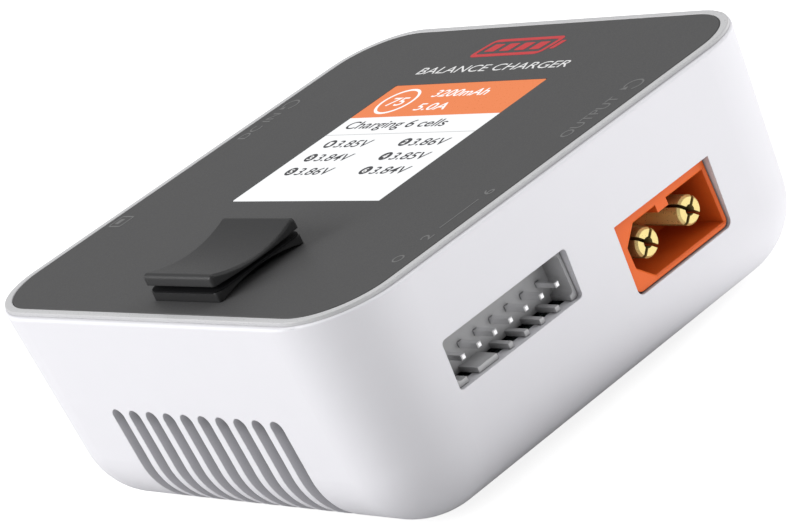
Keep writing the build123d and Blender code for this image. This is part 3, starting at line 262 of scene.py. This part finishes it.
def woven(name, colour, pitch_mm):
    """Crossing threads with painted shade for the openings between them, on a cloth that curves from upright
    to level.
    """
    mat, tree, shader, place, bump = finish(name, colour, 0.5, grain_mm=0.1)
    apart = add_node(tree, "SeparateXYZ", {0: place})
    inward = maths(tree, "ABSOLUTE", apart.outputs["Y"])
    down = maths(tree, "ADD", apart.outputs["Z"], inward)
    turn = pi / (pitch_mm * MM)
    warp = maths(tree, "ABSOLUTE", maths(tree, "SINE", maths(tree, "MULTIPLY", apart.outputs["X"], turn)))
    weft = maths(tree, "ABSOLUTE", maths(tree, "SINE", maths(tree, "MULTIPLY", down, turn)))
    height = maths(tree, "MAXIMUM", warp, weft)
    thread = maths(tree, "GREATER_THAN", height, THREAD_LEVEL)
    # painted shade in the openings between the threads
    colours = blend_colours(tree, thread, shade(colour, OPENING_PAINTED_SHADE), shade(colour, 1))
    tree.links.new(colours, shader.inputs["Base Color"])
    tree.links.new(height, bump.inputs["Height"])
    bump.inputs["Distance"].default_value = WEAVE_DEPTH_MM * MM
    return mat


# the display's picture; the heights of the band and the rule are from the window's centre
BAND_LOW_MM = 6.0
BAND_HIGH_MM = 14.2
BAND_COLOUR = (0.82, 0.19, 0.03)
RULE_MM = 1.77
RULE_HALF_MM = 0.08
RULE_COLOUR = (0.55, 0.55, 0.55)
GROUND_COLOUR = (0.93, 0.94, 0.95)
PIXEL_MM = 0.1175
PIXEL_LEVEL = 0.99
PIXEL_SWING = 0.006

UNLIT_PART = 0.05  # what the display's surface reflects, as a part of its lit colour
LIT_DIMMEST = 0.985
LIT_CLOUD_MM = 8.0
LIT_SPECULAR = 0.1


def lit(name, colour):
    """A part of the lit picture: it glows with its own colour and reflects little."""
    mat, tree, shader, place, _ = finish(name, shade(colour, UNLIT_PART)[:3], 0.3, grain_um=0.5)
    cloud = noise(tree, place, LIT_CLOUD_MM)
    glow = blend_colours(tree, cloud, shade(colour, LIT_DIMMEST), shade(colour, 1.0))
    tree.links.new(glow, shader.inputs["Emission Color"])
    shader.inputs["Emission Strength"].default_value = 1.0
    shader.inputs["Specular IOR Level"].default_value = LIT_SPECULAR
    return mat, tree, shader, place


def display_picture(name, centre):
    """White ground, an orange band across the top part and a thin grey rule, over a faint pixel grid."""
    mat, tree, shader, place = lit(name, GROUND_COLOUR)
    apart = add_node(tree, "SeparateXYZ", {0: place})
    up = maths(tree, "SUBTRACT", apart.outputs["Y"], centre[1] * MM)
    above = maths(tree, "GREATER_THAN", up, BAND_LOW_MM * MM)
    below = maths(tree, "LESS_THAN", up, BAND_HIGH_MM * MM)
    band = maths(tree, "MULTIPLY", above, below)
    from_rule = maths(tree, "ABSOLUTE", maths(tree, "SUBTRACT", up, RULE_MM * MM))
    rule = maths(tree, "LESS_THAN", from_rule, RULE_HALF_MM * MM)
    ground = blend_colours(tree, rule, (*GROUND_COLOUR, 1), (*RULE_COLOUR, 1))
    picture = blend_colours(tree, band, ground, (*BAND_COLOUR, 1))
    turn = 2 * pi / (PIXEL_MM * MM)
    ripple = maths(tree, "SINE", maths(tree, "MULTIPLY", apart.outputs["X"], turn))
    cross_ripple = maths(tree, "SINE", maths(tree, "MULTIPLY", up, turn))
    grid = maths(tree, "MULTIPLY", maths(tree, "ADD", ripple, cross_ripple), PIXEL_SWING)
    level = maths(tree, "ADD", grid, PIXEL_LEVEL)
    tree.links.new(picture, shader.inputs["Emission Color"])
    tree.links.new(level, shader.inputs["Emission Strength"])
    return mat


# where a finish below has a crevice darkening, that is painted shade in its hollows
FINISHES = {
    "white_plastic": moulded("white_satin", (0.90, 0.893, 0.935), 0.42, grain_mm=0.22, grain_um=1.6,
                             mottle=0.008, bevel_mm=0.15, specular=0.35, crevice=0.6, crevice_mm=2.5),
    "grey_plastic": moulded("pale_rim", (0.60, 0.60, 0.61), 0.30, grain_mm=0.2, grain_um=1.0,
                            mottle=0.01, bevel_mm=0.1),
    "panel_plastic": moulded("panel_matte", (0.070, 0.070, 0.071), 0.55, grain_mm=0.12, grain_um=4.0,
                             mottle=0.03, bevel_mm=0.08, specular=0.35),
    "black_plastic": moulded("black_satin", (0.028, 0.028, 0.029), 0.38, grain_mm=0.15, grain_um=2.0,
                             bevel_mm=0.2, specular=0.3, crevice=0.85, crevice_mm=4.0),
    "black_epoxy": moulded("moulded_package", (0.02, 0.02, 0.022), 0.55, grain_mm=0.12, grain_um=6.0),
    "orange_plastic": moulded("orange_nylon", (1.0, 0.175, 0.028), 0.34, grain_mm=0.3, grain_um=2.0,
                              mottle=0.02, specular=0.35, crevice=0.45, crevice_mm=8.0),
    "header_plastic": moulded("grey_nylon", (0.66, 0.66, 0.67), 0.42, grain_mm=0.3, grain_um=3.0,
                              crevice=0.85, crevice_mm=2.5),
    "gold_contact": metal("gold_plate", (1.0, 0.80, 0.32), 0.30, metallic=0.45, grain_mm=0.25, grain_um=0.8,
                          crevice=0.96, crevice_mm=2.0),
    "tinned_metal": metal("bright_tin", (0.85, 0.85, 0.86), 0.24, grain_mm=0.25, grain_um=1.5),
    "steel": metal("zinc_plate", (0.60, 0.61, 0.63), 0.34, grain_mm=0.3, grain_um=2.0),
    "board_mask": circuit_board("solder_mask"),
    "rubber": moulded("matte_rubber", (0.008, 0.008, 0.009), 0.8, grain_mm=0.25, grain_um=12.0, specular=0.1),
    "mesh_grey": woven("woven_thread", (0.24, 0.24, 0.25), pitch_mm=0.6),
    "aluminium": banded("extruded_aluminium", (0.80, 0.81, 0.82), (0.62, 0.63, 0.64), pitch_mm=0.25,
                        axis="Z", roughness=0.38, metallic=1.0),
    # the copper's darker colour between the turns is painted shade
    "copper": banded("wound_copper", (0.80, 0.38, 0.17), (0.30, 0.11, 0.05), pitch_mm=0.22,
                     axis="Z", roughness=0.32, metallic=1.0),
    "ferrite": moulded("iron_powder", (0.075, 0.075, 0.08), 0.7, grain_mm=0.15, grain_um=15.0),
    "flex_film": moulded("polyimide", (0.36, 0.13, 0.015), 0.25, grain_mm=0.5, grain_um=1.0, coat=0.4),
    "foam": foam("closed_cell_foam", (0.03, 0.03, 0.03)),
    "thermal_grey": foam("gap_filler", (0.30, 0.33, 0.37)),
    "lcd_glass": moulded("lcd_glass", (0.60, 0.62, 0.64), 0.12, grain_mm=0.6, grain_um=0.4, coat=0.6),
}

window_low, window_high = box_mm("display_window")
screen_mid = (window_low + window_high) / 2
screen_top = window_high.z

FINISHES["window_clear"] = display_picture("display_picture", screen_mid)

for part in frame["record"]["subparts"]:
    cad_object = nodes[part["node"]]
    if not cad_object.material_slots:
        cad_object.data.materials.append(None)
    for material_slot in cad_object.material_slots:
        material_slot.material = FINISHES[part["material_slot"]]

INK = {
    "white_ink": moulded("white_ink", (0.86, 0.86, 0.86), 0.5, grain_mm=0.1, mottle=0.03, bevel_mm=0.01),
    "red_ink": moulded("red_ink", (0.60, 0.022, 0.030), 0.45, grain_mm=0.1, mottle=0.05, bevel_mm=0.01),
    "grey_ink": moulded("grey_ink", (0.16, 0.16, 0.16), 0.55, grain_mm=0.1, mottle=0.05, bevel_mm=0.01),
    "picture_dark": lit("picture_dark", (0.05, 0.05, 0.055))[0],
    "picture_white": lit("picture_white", (0.97, 0.97, 0.97))[0],
}


# ---- Outlines -----------------------------------------------------------------------------


def on_circle(centre, radius, angle):
    """The point of a circle at this angle, in degrees."""
    a = radians(angle)
    return centre[0] + radius * cos(a), centre[1] + radius * sin(a)


def arc(centre, radius, start, end, count):
    """Points on a circle, from one angle to another in degrees."""
    return [on_circle(centre, radius, start + (end - start) * n / (count - 1)) for n in range(count)]


def full_circle(centre, radius, count):
    """Points all the way round a circle, anticlockwise."""
    return arc(centre, radius, 0, 360, count + 1)[:-1]


# ---- Snap domes under the rocker ----------------------------------------------------------

dome_low, dome_high = box_mm("snap_domes")
DOME_R = (dome_high.x - dome_low.x) / 2
DOME_H = dome_high.z - dome_low.z
DOME_T = 0.08  # thickness of the metal
DOME_RINGS = 10
DOME_TURN = 48  # points round a ring


def cap_rings(sphere_r, rim_r, sunk):
    """Radius and height of the rings of a spherical cap, from its rim to close by its pole."""
    radii = [rim_r * (1 - n / DOME_RINGS) for n in range(DOME_RINGS)]
    return [(r, sqrt(sphere_r**2 - r**2) - sunk) for r in radii]


def snap_dome(name, centre_y):
    """A dome of thin spring metal, built as a spherical shell in one fixed shape.
    """
    sphere_r = (DOME_R**2 + DOME_H**2) / (2 * DOME_H)
    sunk = sphere_r - DOME_H
    under_r = sphere_r - DOME_T
    over = cap_rings(sphere_r, DOME_R, sunk)
    under = cap_rings(under_r, sqrt(under_r**2 - sunk**2), sunk)
    centre = Vector(((dome_low.x + dome_high.x) / 2, centre_y, dome_low.z))
    bm = bmesh.new()
    rings = []
    for r, height in under[::-1] + over:
        spots = [centre + Vector((x, y, height)) for x, y in full_circle((0, 0), r, DOME_TURN)]
        rings.append([bm.verts.new(spot * MM) for spot in spots])
    for inner, outer in zip(rings, rings[1:]):
        for n in range(DOME_TURN):
            bm.faces.new((inner[n - 1], inner[n], outer[n], outer[n - 1]))
    bm.faces.new(rings[0])
    bm.faces.new(rings[-1])
    bmesh.ops.recalc_face_normals(bm, faces=bm.faces)
    mesh = bpy.data.meshes.new(name)
    bm.to_mesh(mesh)
    bm.free()
    mesh.materials.append(FINISHES["steel"])
    dome = new_object(name, mesh)
    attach(dome, "case")
    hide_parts("snap_domes")
    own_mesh(dome)


snap_dome("snap_dome_front", dome_low.y + DOME_R)
snap_dome("snap_dome_middle", (dome_low.y + dome_high.y) / 2)
snap_dome("snap_dome_rear", dome_high.y - DOME_R)

# ---- Flat print ---------------------------------------------------------------------------

PRINT_T = 0.015  # thickness of ink, and of a figure on the display
LETTER_RATIO = 0.729  # capital height over the font's size
CIRCLE_POINTS = 48
MERGE_MM = 0.002  # corners closer than this become one
SLIVER_MM = 0.0005  # edges shorter than this are dissolved


def letter_mesh(words, bold):
    """The built-in font's outlines, filled on both sides and one unit thick; bold widens the strokes."""
    curve = bpy.data.curves.new("words", "FONT")
    curve.body = words
    curve.fill_mode = "BOTH"
    curve.extrude = 0.5
    curve.offset = bold
    curve.resolution_u = 5
    holder = new_object("words", curve)
    bpy.context.view_layer.update()
    depsgraph = bpy.context.evaluated_depsgraph_get()
    mesh = bpy.data.meshes.new_from_object(holder.evaluated_get(depsgraph))
    bpy.data.objects.remove(holder)
    return mesh


def rounded_box(centre, width, height, radius, steps=5):
    """Outline of a rectangle with round corners, anticlockwise."""
    dx, dy = width / 2 - radius, height / 2 - radius
    corners = ((dx, dy, 0), (-dx, dy, 90), (-dx, -dy, 180), (dx, -dy, 270))
    points = []
    for x, y, turn in corners:
        points += arc((centre[0] + x, centre[1] + y), radius, turn, turn + 90, steps)
    return points


class Sheet:
    """Flat shapes of one ink, gathered in one closed mesh that stands on height z (all in mm)."""

    def __init__(self, name, ink, slot, z):
        self.name = name
        self.ink = ink
        self.slot = slot
        self.z = z
        self.bm = bmesh.new()
        self.slant = None

    def ring_of(self, points, z):
        """Corners at height z; slant, if set, is how far x leans per y, and the y that stays in place."""
        if self.slant:
            points = [(x + self.slant[0] * (y - self.slant[1]), y) for x, y in points]
        return [self.bm.verts.new((x * MM, y * MM, z * MM)) for x, y in points]

    def polygon(self, points):
        """A plate with this anticlockwise outline."""
        low = self.ring_of(points, self.z)
        high = self.ring_of(points, self.z + PRINT_T)
        self.bm.faces.new(high)
        self.bm.faces.new(low[::-1])
        for n in range(len(points)):
            self.bm.faces.new((low[n - 1], low[n], high[n], high[n - 1]))

    def loop(self, outer, inner):
        """A closed band between two outlines of as many points each."""
        low_out, high_out = self.ring_of(outer, self.z), self.ring_of(outer, self.z + PRINT_T)
        low_in, high_in = self.ring_of(inner, self.z), self.ring_of(inner, self.z + PRINT_T)
        for n in range(len(outer)):
            self.bm.faces.new((high_out[n - 1], high_out[n], high_in[n], high_in[n - 1]))
            self.bm.faces.new((low_out[n], low_out[n - 1], low_in[n - 1], low_in[n]))
            self.bm.faces.new((low_out[n - 1], low_out[n], high_out[n], high_out[n - 1]))
            self.bm.faces.new((low_in[n], low_in[n - 1], high_in[n - 1], high_in[n]))

    def circle(self, centre, radius, width=None):
        """A disc, or a ring of this width inside the radius."""
        outer = full_circle(centre, radius, CIRCLE_POINTS)
        if width is None:
            self.polygon(outer)
        else:
            self.loop(outer, full_circle(centre, radius - width, CIRCLE_POINTS))

    def write(self, words, left, base, height, width, turned=False, slant=0.0, bold=0.0):
        """Letters with their first edge at left, base line at base and this capital height and width.

        Slant is how far x leans per y, and bold widens the strokes, in parts of the font's size.
        Turned letters run along +Y with their tops towards -X, and left and base are then y and x.
        """
        mesh = letter_mesh(words, bold)
        xs = [v.co.x for v in mesh.vertices]
        scale_x = width / (max(xs) - min(xs))
        scale_y = height / LETTER_RATIO
        for v in mesh.vertices:
            up = v.co.y * scale_y
            across = (v.co.x - min(xs)) * scale_x + slant * up
            x, y = (base - up, left + across) if turned else (left + across, base + up)
            v.co = Vector((x, y, self.z + PRINT_T * (v.co.z + 0.5))) * MM
        self.bm.from_mesh(mesh)
        bpy.data.meshes.remove(mesh)

    def done(self):
        """Makes the piece, which rides on the case."""
        bmesh.ops.remove_doubles(self.bm, verts=self.bm.verts, dist=MERGE_MM * MM)
        bmesh.ops.dissolve_degenerate(self.bm, edges=self.bm.edges, dist=SLIVER_MM * MM)
        bmesh.ops.recalc_face_normals(self.bm, faces=self.bm.faces)
        mesh = bpy.data.meshes.new(self.name)
        self.bm.to_mesh(mesh)
        self.bm.free()
        mesh.materials.append(INK[self.ink])
        piece = new_object(self.name, mesh)
        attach(piece, "case")


# ---- What the display shows ---------------------------------------------------------------

mid_x, mid_y = screen_mid.x, screen_mid.y
INK_GAP = 0.004  # the print stands this far above what it is on
picture_z = screen_top + INK_GAP

gauge_centre = (mid_x - 9.25, mid_y + 9.92)
GAUGE_R = 3.1
GAUGE_STROKE = 0.42
CELL_DISC_R = 0.92
display_type = {"slant": 0.12, "bold": 0.006}

readout = Sheet("display_figures_white", "picture_white", "lcd_glass", picture_z)
readout.circle(gauge_centre, GAUGE_R, GAUGE_STROKE)
readout.write("75", left=gauge_centre[0] - 1.55, base=gauge_centre[1] - 1.05, height=2.1, width=3.0,
              **display_type)
readout.write("3200mAh", left=mid_x - 3.85, base=mid_y + 10.75, height=1.75, width=10.1, **display_type)
readout.write("5.0A", left=mid_x - 3.75, base=mid_y + 7.45, height=1.75, width=5.9, **display_type)
readout.done()

CELL_COLUMNS = (-10.65, 3.75)
CELL_ROWS = (-0.48, -3.78, -7.08)
cell_volts = ("3.85V", "3.86V", "3.84V", "3.85V", "3.86V", "3.84V")
cell_places = [(mid_x + x, mid_y + y) for y in CELL_ROWS for x in CELL_COLUMNS]

figures = Sheet("display_figures_dark", "picture_dark", "lcd_glass", picture_z)
figures.write("Charging 6 cells", left=mid_x - 12.5, base=mid_y + 3.25, height=1.85, width=19.0,
              **display_type)
for (x, y), volts in zip(cell_places, cell_volts):
    figures.circle((x, y), CELL_DISC_R)
    figures.write(volts, left=x + 1.3, base=y - 0.85, height=1.7, width=6.4, **display_type)
figures.done()

numerals = Sheet("display_cell_numbers", "picture_white", "lcd_glass", picture_z + PRINT_T + INK_GAP)
for n, (x, y) in enumerate(cell_places):
    numerals.write(str(n + 1), left=x - 0.36, base=y - 0.52, height=1.04, width=0.72)
numerals.done()

# ---- Print on the face panel --------------------------------------------------------------

panel_z = box_mm("face_panel")[1].z + INK_GAP

# red battery symbol, leaning like a moving thing
SYMBOL_Y = 28.1
SYMBOL_LEAN = 0.22
BAR_COUNT = 4
BAR_PITCH = 2.8
BAR_FIRST_X = -4.95

symbol = Sheet("panel_symbol_red", "red_ink", "panel_plastic", panel_z)
symbol.slant = (SYMBOL_LEAN, SYMBOL_Y)
symbol.loop(
    rounded_box((-0.75, SYMBOL_Y), width=13.4, height=4.5, radius=1.0),
    rounded_box((-0.75, SYMBOL_Y), width=12.0, height=3.1, radius=0.4),
)
symbol.polygon(rounded_box((6.75, SYMBOL_Y), width=0.9, height=2.1, radius=0.3))
for n in range(BAR_COUNT):
    symbol.polygon(rounded_box((BAR_FIRST_X + BAR_PITCH * n, SYMBOL_Y), width=1.9, height=1.9, radius=0.2))
symbol.done()

title = Sheet("panel_title_white", "white_ink", "panel_plastic", panel_z)
title.write("BALANCE CHARGER", left=-13.8, base=22.0, height=1.75, width=28.0, slant=0.1)
title.done()

LABEL_X = 31.95  # base line of the labels along the right edge
MARK_X = 31.2  # middle of the marks along it
LEFT_LABEL_X = -30.75  # base line of the label along the left edge
USB_MARK = (-31.55, -13.8)
USB_TONGUE = (-31.85, -13.8)

labels = Sheet("panel_labels_grey", "grey_ink", "panel_plastic", panel_z)
labels.write("OUTPUT", left=4.7, base=LABEL_X, height=1.7, width=9.2, turned=True)
labels.write("6", left=-7.9, base=LABEL_X, height=1.6, width=1.2, turned=True)
labels.write("2", left=-17.6, base=LABEL_X, height=1.6, width=1.2, turned=True)
labels.polygon(rounded_box((MARK_X, -12.0), width=0.18, height=6.2, radius=0.08))
labels.circle((MARK_X, -21.5), radius=0.75, width=0.2)
labels.write("DC IN", left=6.5, base=LEFT_LABEL_X, height=1.7, width=6.6, turned=True)

ARROW_R = 1.3
ARROW_STROKE = 0.24
ARROW_START = -60  # degrees, as are the next three
ARROW_END = 215
ARROW_WINGS_AT = 222
ARROW_TIP_AT = 262
ARROW_WING = 0.45  # how far the head stands out on each side of the stroke
ARROW_POINTS = 26


def turning_arrow(centre):
    """Three quarters of a ring that ends in an arrow head."""
    inner_r = ARROW_R - ARROW_STROKE
    outer = arc(centre, ARROW_R, ARROW_START, ARROW_END, ARROW_POINTS)
    inner = arc(centre, inner_r, ARROW_START, ARROW_END, ARROW_POINTS)
    labels.polygon(outer + inner[::-1])
    tip = on_circle(centre, ARROW_R - ARROW_STROKE / 2, ARROW_TIP_AT)
    wing_out = on_circle(centre, ARROW_R + ARROW_WING, ARROW_WINGS_AT)
    wing_in = on_circle(centre, inner_r - ARROW_WING, ARROW_WINGS_AT)
    labels.polygon([wing_out, tip, wing_in])


turning_arrow((MARK_X, 16.7))
turning_arrow((-31.5, 15.3))

# port symbol over the USB socket: a shell with its tongue
labels.loop(
    rounded_box(USB_MARK, width=2.6, height=2.6, radius=0.35),
    rounded_box(USB_MARK, width=2.15, height=2.15, radius=0.2),
)
labels.polygon(rounded_box(USB_TONGUE, width=0.9, height=1.2, radius=0.12))
labels.done()

# ---- Stage, light and camera --------------------------------------------------------------

scene = bpy.context.scene
scene.view_settings.view_transform = "Standard"
scene.view_settings.look = "None"

FLOOR_HALF = 3.0
FLOOR_ALBEDO = 0.50
SEEN_GLOW = 0.85  # what the camera sees the floor glow with
SIDE_GLOW = 0.75  # what the floor glows with on the side that GLOW_AZIMUTH points to
GLOW_AZIMUTH = 125
GLOW_START_MM = 30
GLOW_FULL_MM = 45
WORLD_STRENGTH = 0.43

floor_mesh = bpy.data.meshes.new("floor")
floor_corners = [(x * FLOOR_HALF, y * FLOOR_HALF, 0) for x, y in ((-1, -1), (1, -1), (1, 1), (-1, 1))]
floor_mesh.from_pydata(floor_corners, [], [(0, 1, 2, 3)])
floor = new_object("floor", floor_mesh)
floor_finish, floor_tree, floor_shader, floor_place, _ = finish(
    "pale_floor", (FLOOR_ALBEDO,) * 3, 0.9, grain_mm=2.0, mottle=0.004, specular=0.0
)
# overexposed to the camera, as a studio's white sweep is; to the object it is no brighter than grey card,
# but for the side that glows
seen = add_node(floor_tree, "LightPath").outputs["Is Camera Ray"]
glow_way = (sin(radians(GLOW_AZIMUTH)), -cos(radians(GLOW_AZIMUTH)), 0)
along = {0: floor_place, 1: glow_way}
out = add_node(floor_tree, "VectorMath", along, operation="DOT_PRODUCT").outputs["Value"]
glow_span = {
    "Value": out,
    "From Min": GLOW_START_MM * MM,
    "From Max": GLOW_FULL_MM * MM,
    "To Min": 0.0,
    "To Max": SIDE_GLOW,
}
side_glow = add_node(floor_tree, "MapRange", glow_span).outputs["Result"]
glow = maths(floor_tree, "MAXIMUM", maths(floor_tree, "MULTIPLY", seen, SEEN_GLOW), side_glow)
floor_shader.inputs["Emission Color"].default_value = (1, 1, 1, 1)
floor_tree.links.new(glow, floor_shader.inputs["Emission Strength"])
floor_mesh.materials.append(floor_finish)

world = bpy.data.worlds.new("studio")
scene.world = world
world.use_nodes = True
sky = world.node_tree.nodes["Background"]
sky.inputs["Color"].default_value = (1, 1, 1, 1)
sky.inputs["Strength"].default_value = WORLD_STRENGTH

stage_centre = (cad_low + cad_high) / 2
LAMP_DISTANCE = 0.9


def from_angles(azimuth, elevation):
    """Direction towards a place round the object: azimuth 0 is in front (-Y) and 90 is on the +X side."""
    a, e = radians(azimuth), radians(elevation)
    return Vector((sin(a) * cos(e), -cos(a) * cos(e), sin(e)))


def softbox(name, azimuth, elevation, width, height, power):
    """Large soft light that faces the object."""
    data = bpy.data.lights.new(name, "AREA")
    data.shape = "RECTANGLE"
    data.size = width
    data.size_y = height
    data.energy = power
    lamp = new_object(name, data)
    back = from_angles(azimuth, elevation)
    lamp.location = stage_centre + back * LAMP_DISTANCE
    lamp.rotation_mode = "QUATERNION"
    lamp.rotation_quaternion = back.to_track_quat("Z", "Y")


softbox("front_softbox", azimuth=-35, elevation=25, width=0.5, height=0.6, power=6.4)
softbox("side_softbox", azimuth=135, elevation=28, width=0.5, height=0.6, power=1.5)
softbox("top_softbox", azimuth=200, elevation=70, width=0.7, height=0.7, power=2.3)

CAMERA_AZIMUTH = 56.28
CAMERA_ELEVATION = 18.58
CAMERA_ROLL = -24.56
CAMERA_DISTANCE = 405.03 * MM
CAMERA_LENS_MM = 158.04
CAMERA_SENSOR_MM = 36.0
CAMERA_NEAR = 0.01
CAMERA_FAR = 20.0
camera_target = Vector((3.0, -2.72, 18.35)) * MM

camera_data = bpy.data.cameras.new("camera")
camera_data.sensor_width = CAMERA_SENSOR_MM
camera_data.lens = CAMERA_LENS_MM
camera_data.clip_start = CAMERA_NEAR
camera_data.clip_end = CAMERA_FAR
camera = new_object("camera", camera_data)
camera_back = from_angles(CAMERA_AZIMUTH, CAMERA_ELEVATION)
camera.location = camera_target + camera_back * CAMERA_DISTANCE
camera.rotation_mode = "QUATERNION"
roll = Quaternion((0, 0, 1), radians(CAMERA_ROLL))
camera.rotation_quaternion = (-camera_back).to_track_quat("-Z", "Y") @ roll
scene.camera = camera
